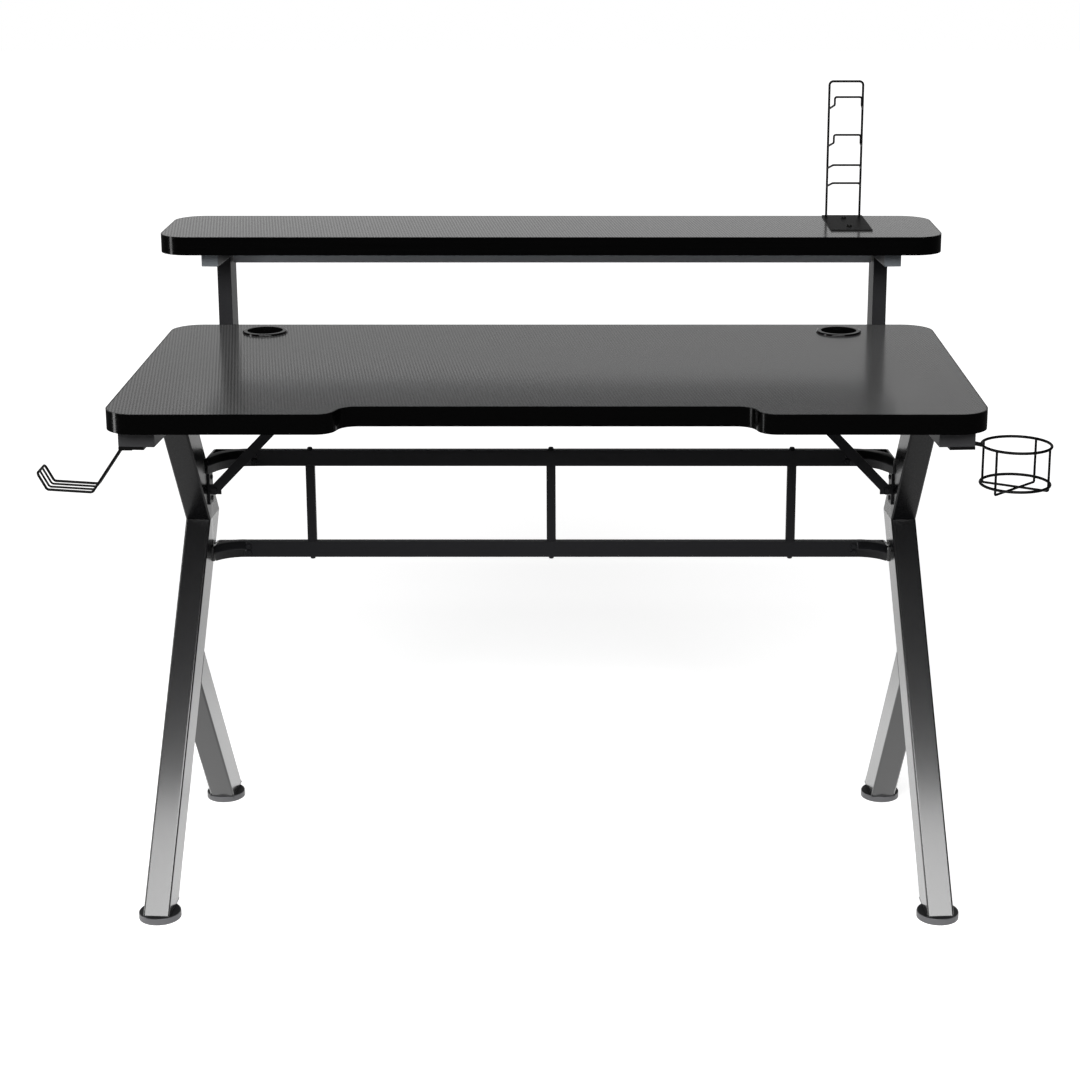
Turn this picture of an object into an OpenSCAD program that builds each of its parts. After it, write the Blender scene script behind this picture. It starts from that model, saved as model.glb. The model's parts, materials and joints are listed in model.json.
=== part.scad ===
// Gaming desk on two K-shaped steel side frames, with a raised monitor shelf,
// a wire rack on the shelf, a wire headphone hook and a wire cup holder.
// Millimetres. Y runs from the front edge to the back, Z up from the floor.

/* [Desktop] */
// Width of the desktop, side to side
desktop_w = 1200; // [1160:10:1400]
// Depth of the desktop, front to back
desktop_d = 600; // [590:5:640]
// Height of the desktop's top face above the floor
desktop_z = 750; // [730:5:770]
// Thickness of the desktop
desktop_t = 28; // [24:1:32]
// Radius of the desktop's corners, seen from above
desktop_corner_r = 45; // [30:1:60]
// Thickness of the plastic edge band on both boards
band_t = 2; // [1:0.5:3]
// Depth of the recess in the front edge
recess_d = 46; // [30:1:60]
// Half width of the recess along its straight back edge
recess_half_w = 258; // [200:2:300]
// Sideways run of the S-curve at each end of the recess
recess_run = 54; // [46:1:80]

/* [Shelf] */
// How far the shelf's sides stand in from the desktop's
shelf_inset = 0; // [0:1:30]
// Depth of the shelf, front to back
shelf_d = 210; // [200:2:230]
// Thickness of the shelf
shelf_t = 28; // [24:1:32]
// Radius of the shelf's corners, seen from above
shelf_corner_r = 45; // [30:1:60]
// Free height between the desktop and the shelf
shelf_gap = 135; // [110:1:180]
// How far the shelf reaches forward over the desktop's back edge
shelf_overlap = 136; // [130:1:150]

/* [Side frames] */
// From the desktop's side edge to the middle of the leg, at the front edge
leg_inset = 39.5; // [36:0.5:60]
// Angle by which each side frame turns inwards towards the back
leg_toe = 3.8; // [0:0.2:5]
// Width of the leg tube
leg_w = 38; // [34:1:42]
// Depth of the leg tube, square to its slope
leg_d = 50; // [46:1:54]
// Wall of the leg tube
leg_wall = 1.5; // [1:0.1:2.5]
// Front face of the front leg where its line meets the floor
leg_foot_y = -3; // [-8:1:2]
// Front face of the leg at the kink
kink_y = 360; // [350:1:370]
// Height of the kink
kink_z = 497; // [485:1:505]
// Front face of the upper arm where it meets the side rail
arm_top_y = 217; // [205:1:230]
// Front face of the rear leg where its line meets the floor
rear_foot_y = 446; // [438:1:450]
// Forward run of the rear leg for each unit of height
rear_lean = 0.70; // [0.66:0.01:0.74]

/* [Side rails] */
// Width of the side rail under the desktop
rail_w = 50; // [46:1:54]
// Height of the side rail
rail_h = 25; // [20:1:30]
// Wall of the side rail and of the shelf rail
rail_wall = 1.5; // [1:0.1:2.5]
// From the desktop's front edge to the rail's front end
rail_front_y = 30; // [24:1:40]
// Thickness of the flange of a rail's end cap
cap_t = 3; // [2:0.5:4]
// Length of the plug of an end cap inside its rail
cap_plug_l = 10; // [8:1:12]

/* [Shelf frame] */
// Width of the shelf post
post_w = 22; // [20:1:26]
// Depth of the shelf post, front to back
post_d = 42; // [38:1:46]
// Wall of the shelf post
post_wall = 1.5; // [1:0.1:2.5]
// Gap between the desktop's back edge and the post
post_gap = 2; // [2:0.5:6]
// Width of the rail under the shelf
shelf_rail_w = 26; // [24:1:32]
// Height of the rail under the shelf
shelf_rail_h = 25; // [20:1:30]
// How far the shelf rail's front end lies behind the shelf's front edge
shelf_rail_inset = 44; // [36:1:50]
// Height of the crossbar under the shelf
shelf_bar_h = 38; // [28:1:42]
// Thickness of the crossbar under the shelf
shelf_bar_t = 18; // [12:1:22]

/* [Crossbars] */
// Height of a crossbar
bar_h = 25; // [22:1:28]
// Thickness of a crossbar
bar_t = 12; // [10:1:14]
// Wall of a crossbar
bar_wall = 1.2; // [1:0.1:2]
// Middle of a crossbar behind the kink's front face
bar_back = 37; // [34:1:42]
// Middle of the upper crossbar above the kink
bar_above = 88; // [80:1:95]
// Middle of the lower crossbar below the kink
bar_below = 57; // [50:1:62]
// Bend radius of a crossbar, at its middle line
bar_bend_r = 60; // [50:1:66]
// Bend of the upper crossbar's ends
up_bend = 60; // [56:1:64]
// Bend of the lower crossbar's ends
low_bend = 50; // [46:1:56]
// Width of a strut between the crossbars
strut_w = 14; // [12:1:18]
// Depth of a strut
strut_d = 10; // [9:0.5:12]
// From the middle of the leg, at the front edge, to the outer strut
strut_in = 192.5; // [160:0.5:260]

/* [Braces] */
// Width of the flat brace
brace_w = 15; // [14:0.5:18]
// Thickness of the flat brace and its brackets
brace_t = 3; // [2.5:0.5:4]
// Height of the brace's lower bolt above the kink
brace_foot_above = 50; // [40:1:54]
// Sideways distance between the brace's two bolts
brace_run = 156; // [140:2:170]
// Depth of the brace's front face, from the desktop's front edge
brace_y = 350; // [345:1:356]

/* [Feet] */
// Diameter of a foot's pad
pad_d = 60; // [52:1:60]
// Height of a foot's pad
pad_h = 10; // [8:0.5:12]
// Diameter of a foot's stem
stem_d = 8; // [6:0.5:10]
// Travel of a levelling foot
foot_travel = 10; // [6:1:12]
// Middle of a front foot, from the desktop's front edge
front_foot_y = 30; // [30:0.5:34]
// Middle of a rear foot, from the desktop's front edge
back_foot_y = 467; // [465:1:475]

/* [Grommets] */
// Diameter of a cable hole in the desktop
grommet_hole_d = 60; // [50:1:64]
// Width of the grommet's rim beyond the hole
grommet_rim = 5; // [4:0.5:8]
// Middle of a grommet, in from the desktop's side edge
grommet_side = 150; // [140:2:220]
// Middle of a grommet, in front of the desktop's back edge
grommet_in = 59; // [50:1:80]
// Width of the cable slot in the cap
slot_w = 16; // [12:1:20]

/* [Headphone hook] */
// Diameter of the hook's outer wire
hook_wire_d = 3.6; // [3:0.1:4.4]
// Diameter of the hook's inner wires
hook_inner_d = 3; // [2.4:0.1:3.4]
// Distance between the hook's front and back wires
hook_w = 45; // [36:1:48]
// Reach of the hook beyond the desktop's side edge
hook_reach = 100; // [96:1:106]
// Drop of the hook below its plate
hook_drop = 61; // [50:1:75]

/* [Cup holder] */
// Diameter of the cup holder's rings, at the middle of the wire
cup_ring_d = 96; // [88:1:100]
// Diameter of the rings' wire
cup_wire_d = 4; // [3.6:0.1:4.6]
// Diameter of the wires that join the rings
cup_upright_d = 3.4; // [2.8:0.1:3.5]
// Distance between the two rings
cup_h = 55; // [45:1:70]
// Middle of the cup holder, from the desktop's front edge
cup_y = 85; // [80:1:92]
// Reach of the cup holder beyond the desktop's side edge
cup_reach = 100; // [96:1:106]

/* [Rack] */
// Width of the rack's base plate
rack_plate_w = 64; // [60:1:70]
// Length of the rack's base plate, front to back
rack_plate_l = 146; // [130:1:150]
// Thickness of the rack's base plate
rack_plate_t = 2; // [1.5:0.5:3]
// Diameter of the rack's wire
rack_wire_d = 3.6; // [3:0.1:4]
// Distance between the rack's uprights
rack_w = 53; // [48:1:55]
// Height of the rack above the shelf
rack_h = 218; // [210:1:230]
// Middle of the rack, in from the shelf's right side edge
rack_in = 136; // [130:2:300]

/* [Hidden] */

$fn = 64;

// Overrun of a cut past the face it goes through
over = 1;
// Radial clearance of a bolt or screw in its hole
hole_gap = 0.15;
// Clearance of a plug in its tube
plug_gap = 0.2;
// How much wider the ball between a wire's straight length and its bend is
joint_share = 1.03;
// How far that ball reaches over each, as a share of the wire's diameter
joint_gap_share = 0.05;
// Radial clearance of a foot's stem in its plug
stem_gap = 0.08;

// Heights worked out from the desktop down and the shelf up
board_z = desktop_z - desktop_t;
rail_z = board_z - rail_h;
shelf_z = desktop_z + shelf_gap;
shelf_w = desktop_w - 2 * shelf_inset;
shelf_rail_z = shelf_z - shelf_rail_h;
shelf_front_y = desktop_d - shelf_overlap;
overall_d = shelf_front_y + shelf_d;

// The leg frame: a tube's depth measured level, for each slope
leg_x = desktop_w / 2 - leg_inset;
leg_slope = (kink_y - leg_foot_y) / kink_z;
arm_slope = (kink_y - arm_top_y) / (rail_z - kink_z);
function level_depth(slope, d) = d * sqrt(1 + slope * slope);
leg_run = level_depth(leg_slope, leg_d);
arm_run = level_depth(arm_slope, leg_d);
rear_run = level_depth(rear_lean, leg_d);

// Front faces of the three tubes at a height
function leg_front(z) = leg_foot_y + leg_slope * z;
function arm_front(z) = kink_y - arm_slope * (z - kink_z);
function rear_front(z) = rear_foot_y - rear_lean * z;

// Where the back faces of the front leg and the upper arm cross
mitre_z = (arm_front(0) + arm_run - leg_foot_y - leg_run) / (leg_slope + arm_slope);
mitre_y = leg_front(mitre_z) + leg_run;
// Where the rear leg's front and back faces meet the back of the front leg
crotch_z = (rear_foot_y - leg_foot_y - leg_run) / (leg_slope + rear_lean);
branch_z = crotch_z + rear_run / (leg_slope + rear_lean);

// The recess's S-curve: how much smaller its arcs are than two that touch, the
// small angle at which they meet the line between them, and the radius's step
recess_arc_share = 0.995;
recess_kink = 3;
unit_step = 0.1;

// Leg plugs and feet
plug_flange_t = 2;
plug_l = 18;
foot_gap = 0.3;
leg_cut_z = pad_h + foot_gap + plug_flange_t;
stem_hold = 12;
stem_l = foot_travel + stem_hold;
pad_edge_r = 2;
stem_collar_d = 18;
stem_collar_h = 1.2;

// Bolts and screws
screw_d = 4;
screw_head_d = 8;
screw_head_h = 2.2;
screw_bite = 15;
head_taper = 0.8;
bolt_d = 5;
bolt_head_d = 9;
bolt_head_h = 3.5;
bar_bolt_apart = 10;
bar_bolt_margin = 0.6;
bar_end_over = 16;
bar_wedge = 8;
bar_swell = 0.03;
bar_tab_t = 3;
bar_tab_h = 22;
bar_tab_l = 80;
bar_tab_grip = 14;
rail_screw_share = [0.16, 0.46, 0.86];
shelf_screw_share = [0.2, 0.86];

// Places of the crossbars
upper_bar_z = kink_z + bar_above;
lower_bar_z = kink_z - bar_below;
bar_y = kink_y + bar_back;
strut_x = leg_x - strut_in;
up_end_y = arm_front(upper_bar_z) + arm_run;
low_end_y = leg_front(lower_bar_z) + leg_run;
strut_bolt_bite = 12;

// Places of the braces, in the side frame, outward from the leg's plane
bracket_bolt_out = 10.5;
brace_foot_x = -leg_w / 2 - bracket_bolt_out;
brace_foot_z = kink_z + brace_foot_above;
brace_head_x = brace_foot_x - brace_run;
brace_head_gap = 1.5;
brace_head_z = board_z - brace_w / 2 - brace_t - brace_head_gap;
bracket_ear_w = 20;
bracket_flange_h = 48;
bracket_flange_d = 22;
bracket_screw_share = [0.16, 0.84];
bracket_screw_in = 0.55;
head_flange_l = 44;
head_flange_d = 22;
head_screw_share = [0.2, 0.8];
head_screw_in = 0.6;

// Places of the shelf frame
post_front_y = (desktop_d + post_gap) / cos(leg_toe);
post_plate_w = 46;
post_plate_t = 4;
post_bolt_x = 17;
post_bolt_share = [0.19, 0.7];
post_bolt_head_d = 8;
rail_tail = 5;
shelf_rail_tail = 12;
rail_end_y = post_front_y + post_d + rail_tail;
shelf_rail_front_y = shelf_front_y + shelf_rail_inset;
shelf_rail_end_y = post_front_y + post_d + shelf_rail_tail;
shelf_bar_y = post_front_y + post_d / 2;

// Grommets
grommet_x = desktop_w / 2 - grommet_side;
grommet_y = desktop_d - grommet_in;
grommet_gap = 0.2;
liner_wall = 2;
liner_l = 20;
rim_h = 3;
rim_lip = 2;
cap_gap = 0.3;
cap_disc_t = 2;
cap_skirt_l = 6;
cap_skirt_t = 1.6;
ledge_t = 1.5;
ledge_w = 2.5;
ledge_gap = 0.3;
liner_inner_d = grommet_hole_d - 2 * grommet_gap - 2 * liner_wall;
cap_d = liner_inner_d - 2 * cap_gap;
slot_depth = 20;

// Accessory plates under the side rails, flush with the rail's outer face
acc_plate_w = 35;
acc_plate_l = 65;
acc_plate_t = 4;
acc_screw_share = [0.42, 0.8];
acc_screw_in = 0.7;
acc_screw_l = 12;
acc_plate_z = rail_z - acc_plate_t;
acc_wire_in = 16;

// Headphone hook: places across (x, outwards) and up (z), in the desk's frame
hook_in = 11;
hook_y = rail_front_y + hook_in;
hook_wire_z = acc_plate_z - hook_wire_d / 2;
hook_root_in = 3;
hook_root_x = leg_x + rail_w / 2 - hook_root_in;
hook_end_x = desktop_w / 2 + hook_reach;
hook_elbow_share = 0.353;
hook_elbow_x = hook_root_x + hook_elbow_share * (hook_end_x - hook_root_x);
hook_tip_run = 14;
hook_cradle_x = hook_end_x - hook_tip_run;
hook_cradle_rise = 4;
hook_tip_rise = 23;
hook_tip_r = 5;

// Cup holder
cup_x = desktop_w / 2 + cup_reach - (cup_ring_d + cup_wire_d) / 2;
cup_top_drop = 7;
cup_top_z = acc_plate_z - cup_top_drop;
cup_angles = [150, 46];
cup_drop = 4.8;
cup_bend_r = 2.2;
cup_tail_r = 6;
cup_plate_x = leg_x + rail_w / 2 - cup_y * tan(leg_toe);
cup_tail_in = [3, 16];
cup_tail_apart = 12;
cup_weld = 0.4;

// Rack: heights above the shelf, forward reach and lip of each loop
rack_x = shelf_w / 2 - rack_in;
rack_back = 19;
rack_y = shelf_front_y + shelf_d - rack_back;
rack_plate_back = 14;
rack_corner_r = 6;
rack_loop_less = 0.4;
rack_loop_d = rack_wire_d - rack_loop_less;
rack_lip_loop_z = [173, 114];
rack_low_loop_z = [79, 50.5];
rack_loop_reach = 33;
rack_loop_rise = 9.5;
rack_loop_lip = 12.5;
rack_loop_in = 5.5;
rack_bend_r = 3;
rack_screw_share = [0.2, 0.75];
rack_screw_l = 14;

steel_grey = "dimgray";
frame_black = [0.12, 0.12, 0.13];
band_black = [0.03, 0.03, 0.03];
board_grey = [0.25, 0.25, 0.26];
rubber_black = [0.08, 0.08, 0.08];
zinc = [0.45, 0.46, 0.48];

// Moves what is drawn from the front edge into the part's own frame
module in_frame() {
    translate([0, -overall_d / 2, 0]) children();
}

// Places a side frame: x outwards from the leg's plane, y back, z up
module side(s) {
    mirror([s < 0 ? 1 : 0, 0, 0])
        translate([leg_x, 0, 0])
        rotate([0, 0, leg_toe])
        children();
}

// Everything outside the inner face of the side frame at x
module outside_of(x) {
    for (s = [-1, 1])
        side(s)
        translate([x, -desktop_d, -over])
        cube([desktop_w, 3 * desktop_d, 2 * desktop_z]);
}

// A profile in the y-z plane, extruded across x
module across(w) {
    rotate([90, 0, 90]) linear_extrude(w, center = true) children();
}

function unit(v) = v / norm(v);
function turn_at(p, i) = acos(unit(p[i] - p[i - 1]) * unit(p[i + 1] - p[i]));
function trim_at(p, i, r) =
    i == 0 || i == len(p) - 1 ? 0 : r * tan(turn_at(p, i) / 2);

// Puts what is drawn at a, with its z axis along u
module along(a, u) {
    translate(a) rotate([0, acos(u.z), atan2(u.y, u.x)]) children();
}

// A round wire through the points p, bent with radius r at each inner point.
// A ball a little wider than the wire joins each straight length to its bend.
module bent_wire(p, d, r) {
    gap = joint_gap_share * d;
    for (i = [0:1:len(p) - 2]) {
        u = unit(p[i + 1] - p[i]);
        a = p[i] + u * (i == 0 ? 0 : trim_at(p, i, r) + gap);
        b = p[i + 1] - u * (i == len(p) - 2 ? 0 : trim_at(p, i + 1, r) + gap);
        along(a, u) cylinder(h = norm(b - a), d = d);
    }
    for (i = [1:1:len(p) - 2]) {
        u = unit(p[i] - p[i - 1]);
        v = unit(p[i + 1] - p[i]);
        w = unit(cross(u, v));
        m = cross(w, u);
        a = p[i] - u * trim_at(p, i, r);
        c = a + r * m;
        step = gap / r * 180 / PI;
        multmatrix([[-m.x, u.x, w.x, c.x], [-m.y, u.y, w.y, c.y], [-m.z, u.z, w.z, c.z]])
            rotate([0, 0, step]) rotate_extrude(angle = turn_at(p, i) - 2 * step)
            translate([r, 0]) circle(d = d);
        along(a, u) sphere(d = d * joint_share);
        along(p[i] + v * trim_at(p, i, r), v) sphere(d = d * joint_share);
    }
}

// A screw or bolt: head below z = 0, shank up from it
module screw(l, d, head_d, head_h) {
    translate([0, 0, -head_h]) cylinder(h = head_h, d1 = head_d * head_taper, d2 = head_d);
    cylinder(h = l, d = d);
}

// The hole for such a screw, from below z = 0 to length l
module screw_hole(l, d) {
    translate([0, 0, -over]) cylinder(h = l + over, d = d + 2 * hole_gap);
}

// The outline of a board with round corners, drawn in by inset
module board_outline(w, d, r, inset) {
    for (x = [-1, 1], y = [0, 1])
        translate([x * (w / 2 - r), y == 0 ? r : d - r]) circle(r - inset);
    translate([-w / 2 + r, inset]) square([w - 2 * r, d - 2 * inset]);
    translate([-w / 2 + inset, r]) square([w - 2 * inset, d - 2 * r]);
}

// One end of the recess: an S-curve of two equal arcs joined by a short
// straight line, drawn in by inset
module recess_end(inset) {
    half_turn = atan(recess_d / recess_run);
    arc_r = floor(recess_arc_share * recess_run / (2 * sin(2 * half_turn)) / unit_step) * unit_step;
    inner = [recess_half_w, recess_d - arc_r];
    outer = [recess_half_w + recess_run, arc_r];
    away = arc_r * cos(recess_kink);
    lean = atan2(outer.y - inner.y, outer.x - inner.x) + acos(2 * away / norm(outer - inner));
    m = [cos(lean), sin(lean)];
    difference() {
        union() {
            polygon([[recess_half_w, -over], [outer.x, -over], outer, outer - m * (away - inset),
                inner + m * (away + inset), inner]);
            translate(inner) circle(arc_r + inset);
        }
        translate(outer) circle(arc_r - inset);
        translate([0, -2 * recess_d - over]) square([2 * outer.x, 2 * recess_d]);
    }
}

module desktop_outline(inset) {
    difference() {
        board_outline(desktop_w, desktop_d, desktop_corner_r, inset);
        translate([-recess_half_w, -over]) square([2 * recess_half_w, recess_d + inset + over]);
        for (s = [0, 1]) mirror([s, 0]) recess_end(inset);
    }
}

// Places of the screws that hold the desktop to each side rail
module at_rail_screws() {
    for (s = [-1, 1], share = rail_screw_share)
        side(s) translate([0, rail_front_y + share * (desktop_d - rail_front_y), 0]) children();
}

module at_shelf_screws() {
    for (s = [-1, 1], share = shelf_screw_share)
        side(s)
        translate([0, shelf_rail_front_y + share * (shelf_rail_end_y - shelf_rail_front_y), 0])
        children();
}

// Places of the screws through the braces' upper brackets
module at_head_screws() {
    for (s = [-1, 1], share = head_screw_share)
        side(s)
        translate([brace_head_x - head_flange_l / 2 + share * head_flange_l,
            brace_y + brace_t + head_screw_in * head_flange_d, 0])
        children();
}

module at_rack_screws() {
    for (share = rack_screw_share)
        translate([rack_x, rack_y + rack_plate_back - share * rack_plate_l, 0]) children();
}

module desktop_panel() {
    color(board_grey) in_frame() difference() {
        translate([0, 0, board_z]) linear_extrude(desktop_t) desktop_outline(band_t);
        for (x = [-1, 1])
            translate([x * grommet_x, grommet_y, board_z - over])
            cylinder(h = desktop_t + 2 * over, d = grommet_hole_d);
        translate([0, 0, board_z]) at_rail_screws() screw_hole(screw_bite, screw_d);
        translate([0, 0, board_z]) at_head_screws() screw_hole(screw_bite, screw_d);
    }
}

module desktop_edge_band() {
    color(band_black) in_frame()
        translate([0, 0, board_z]) linear_extrude(desktop_t) difference() {
        desktop_outline(0);
        desktop_outline(band_t);
    }
}

module shelf_panel() {
    color(board_grey) in_frame() difference() {
        translate([0, shelf_front_y, shelf_z]) linear_extrude(shelf_t)
            board_outline(shelf_w, shelf_d, shelf_corner_r, band_t);
        translate([0, 0, shelf_z]) at_shelf_screws() screw_hole(screw_bite, screw_d);
        translate([0, 0, shelf_z + shelf_t]) mirror([0, 0, 1])
            at_rack_screws() screw_hole(rack_screw_l, screw_d);
    }
}

module shelf_edge_band() {
    color(band_black) in_frame()
        translate([0, shelf_front_y, shelf_z]) linear_extrude(shelf_t) difference() {
        board_outline(shelf_w, shelf_d, shelf_corner_r, 0);
        board_outline(shelf_w, shelf_d, shelf_corner_r, band_t);
    }
}

// A straight square tube along y, its bottom at z = 0
module tube_y(w, h, wall, y1, y2) {
    difference() {
        translate([-w / 2, y1, 0]) cube([w, y2 - y1, h]);
        translate([-w / 2 + wall, y1 - over, wall])
            cube([w - 2 * wall, y2 - y1 + 2 * over, h - 2 * wall]);
    }
}

module side_rail(s) {
    color(frame_black) in_frame() difference() {
        translate([0, 0, rail_z]) side(s)
            tube_y(rail_w, rail_h, rail_wall, rail_front_y + cap_t, rail_end_y - cap_t);
        translate([0, 0, rail_z]) at_rail_screws() screw_hole(2 * rail_h, screw_d);
        side(s) at_post_bolts() translate([0, 0, board_z - 2 * rail_wall])
            screw_hole(3 * rail_wall, bolt_d);
        side(s) at_plate_screws() translate([0, 0, rail_z]) screw_hole(2 * rail_wall, screw_d);
    }
}
module left_side_rail() { side_rail(-1); }
module right_side_rail() { side_rail(1); }

// A cap in the end of a tube that runs along y: flange outside, plug inside
module end_cap(w, h, wall) {
    translate([-w / 2, 0, 0]) cube([w, cap_t, h]);
    translate([-w / 2 + wall + plug_gap, cap_t - over, wall + plug_gap])
        cube([w - 2 * (wall + plug_gap), cap_plug_l + over, h - 2 * (wall + plug_gap)]);
}

module end_caps(w, h, wall, z, y1, y2) {
    for (s = [-1, 1]) side(s) {
        translate([0, y1, z]) end_cap(w, h, wall);
        translate([0, y2, z]) mirror([0, 1, 0]) end_cap(w, h, wall);
    }
}

module side_rail_caps() {
    color(rubber_black) in_frame()
        end_caps(rail_w, rail_h, rail_wall, rail_z, rail_front_y, rail_end_y);
}

// A crossbar's path at the right: the corner of its bend, and its end, which is
// cut off at the leg's tab. Its middle line meets the leg at the leg's back edge.
function bar_corner(end_y, bend) = [leg_x - (leg_w / 2 + bar_tab_t) / cos(leg_toe)
    - end_y * tan(leg_toe) - (bar_y - end_y) / tan(bend), bar_y];
function bar_end(end_y, bend) = bar_corner(end_y, bend)
    + [cos(bend), -sin(bend)] * ((bar_y - end_y) / sin(bend) + bar_end_over);
function bar_bolt_x(end_y, bend) =
    bar_corner(end_y, bend).x - bar_bend_r * tan(bend / 2) - bar_bolt_margin * bolt_head_d;

// Places of the bolts through a crossbar's ends, z along the bolt
module at_bar_bolts(z, end_y, bend) {
    for (m = [0, 1], up = [-1, 1])
        mirror([m, 0, 0])
        translate([bar_bolt_x(end_y, bend), bar_y, z + up * bar_bolt_apart / 2])
        rotate([-90, 0, 0]) children();
}

// The bent tab welded to a leg's inner face at its back edge: the crossbar's end
// meets one half of it, and the bar is bolted to the other half, which runs behind it
module bar_tab(s, z, end_y, bend) {
    back = bar_y + bar_t / 2;
    translate([0, 0, z - bar_tab_h / 2]) {
        side(s) translate([-leg_w / 2 - bar_tab_t, end_y - bar_tab_grip, 0])
            cube([bar_tab_t + leg_wall / 2, back + bar_tab_t - end_y + bar_tab_grip, bar_tab_h]);
        difference() {
            mirror([s < 0 ? 1 : 0, 0, 0])
                translate([bar_bolt_x(end_y, bend) - bolt_head_d, back, 0])
                cube([bar_tab_l, bar_tab_t, bar_tab_h]);
            outside_of(-leg_w / 2 - bar_tab_t / 2);
            translate([0, 0, bar_tab_h / 2 - z])
                at_bar_bolts(z, end_y, bend) screw_hole(2 * bar_t, bolt_d);
        }
    }
}

// Places in the side frame of the screws that hold the brace's lower bracket
module at_bracket_screws() {
    for (share = bracket_screw_share)
        translate([-leg_w / 2, brace_y + brace_t + bracket_screw_in * bracket_flange_d,
            brace_foot_z - bracket_flange_h / 2 + share * bracket_flange_h])
        rotate([0, 90, 0]) children();
}

module upper_arm(s) {
    color(steel_grey) in_frame() {
        side(s) difference() {
            across(leg_w) polygon([[kink_y, kink_z], [mitre_y, mitre_z],
                [arm_top_y + arm_run, rail_z], [arm_top_y, rail_z]]);
            across(leg_w - 2 * leg_wall)
                slope_inside(arm_front(0), -arm_slope, arm_run, kink_z / 2, 2 * rail_z);
            at_bracket_screws() screw_hole(2 * leg_wall, screw_d);
        }
        bar_tab(s, upper_bar_z, up_end_y, up_bend);
    }
}
module left_upper_arm() { upper_arm(-1); }
module right_upper_arm() { upper_arm(1); }

// The inside of a sloping tube from z1 to z2: its front line starts at y0
module slope_inside(y0, slope, run, z1, z2) {
    wall = level_depth(slope, leg_wall);
    polygon([[y0 + slope * z1 + wall, z1], [y0 + slope * z1 + run - wall, z1],
        [y0 + slope * z2 + run - wall, z2], [y0 + slope * z2 + wall, z2]]);
}

module front_leg(s) {
    color(steel_grey) in_frame() {
        side(s) difference() {
            across(leg_w) polygon([[leg_front(leg_cut_z), leg_cut_z],
                [leg_front(leg_cut_z) + leg_run, leg_cut_z], [mitre_y, mitre_z], [kink_y, kink_z]]);
            across(leg_w - 2 * leg_wall) slope_inside(leg_foot_y, leg_slope, leg_run, -leg_d, 2 * kink_z);
        }
        bar_tab(s, lower_bar_z, low_end_y, low_bend);
    }
}
module left_front_leg() { front_leg(-1); }
module right_front_leg() { front_leg(1); }

module rear_leg(s) {
    color(steel_grey) in_frame() side(s) difference() {
        across(leg_w) polygon([[rear_front(leg_cut_z), leg_cut_z],
            [rear_front(leg_cut_z) + rear_run, leg_cut_z],
            [rear_front(branch_z) + rear_run, branch_z], [rear_front(crotch_z), crotch_z]]);
        across(leg_w - 2 * leg_wall) slope_inside(rear_foot_y, -rear_lean, rear_run, -leg_d, kink_z);
    }
}
module left_rear_leg() { rear_leg(-1); }
module right_rear_leg() { rear_leg(1); }

// The plug in the foot of a leg: a flange under the tube, a block inside it
// and a threaded bore for the stem, here plain
module leg_plug(s, y0, slope, run, foot_y) {
    wall = level_depth(slope, leg_wall + plug_gap);
    z1 = pad_h + foot_gap;
    z2 = z1 + plug_l;
    color(rubber_black) in_frame() side(s) difference() {
        union() {
            across(leg_w) polygon([[y0 + slope * leg_cut_z, z1], [y0 + slope * leg_cut_z + run, z1],
                [y0 + slope * leg_cut_z + run, leg_cut_z], [y0 + slope * leg_cut_z, leg_cut_z]]);
            across(leg_w - 2 * (leg_wall + plug_gap))
                polygon([[y0 + slope * leg_cut_z + wall, leg_cut_z],
                [y0 + slope * leg_cut_z + run - wall, leg_cut_z],
                [y0 + slope * z2 + run - wall, z2], [y0 + slope * z2 + wall, z2]]);
        }
        translate([0, foot_y, z1 - over])
            cylinder(h = plug_l + 2 * over, d = stem_d + 2 * stem_gap);
    }
}
module front_left_leg_plug() { leg_plug(-1, leg_foot_y, leg_slope, leg_run, front_foot_y); }
module front_right_leg_plug() { leg_plug(1, leg_foot_y, leg_slope, leg_run, front_foot_y); }
module rear_left_leg_plug() { leg_plug(-1, rear_foot_y, -rear_lean, rear_run, back_foot_y); }
module rear_right_leg_plug() { leg_plug(1, rear_foot_y, -rear_lean, rear_run, back_foot_y); }

// The round pad of a foot, with a soft upper edge and a seat for the stem
module foot_pad(s, foot_y) {
    r = pad_d / 2;
    color(rubber_black) in_frame() side(s) translate([0, foot_y, 0]) rotate_extrude() difference() {
        union() {
            square([r - pad_edge_r, pad_h]);
            square([r, pad_h - pad_edge_r]);
            translate([r - pad_edge_r, pad_h - pad_edge_r]) circle(pad_edge_r);
        }
        translate([0, pad_h - stem_collar_h]) square([stem_collar_d / 2 + plug_gap, 2 * stem_collar_h]);
    }
}
module front_left_foot_pad() { foot_pad(-1, front_foot_y); }
module front_right_foot_pad() { foot_pad(1, front_foot_y); }
module rear_left_foot_pad() { foot_pad(-1, back_foot_y); }
module rear_right_foot_pad() { foot_pad(1, back_foot_y); }

// The stem of a foot: a collar in the pad's seat and a threaded shank
module foot_stem(s, foot_y) {
    color(zinc) in_frame() side(s) translate([0, foot_y, pad_h - stem_collar_h]) {
        cylinder(h = stem_collar_h, d = stem_collar_d);
        cylinder(h = stem_l + stem_collar_h, d = stem_d);
    }
}
module front_left_foot_stem() { foot_stem(-1, front_foot_y); }
module front_right_foot_stem() { foot_stem(1, front_foot_y); }
module rear_left_foot_stem() { foot_stem(-1, back_foot_y); }
module rear_right_foot_stem() { foot_stem(1, back_foot_y); }

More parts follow.
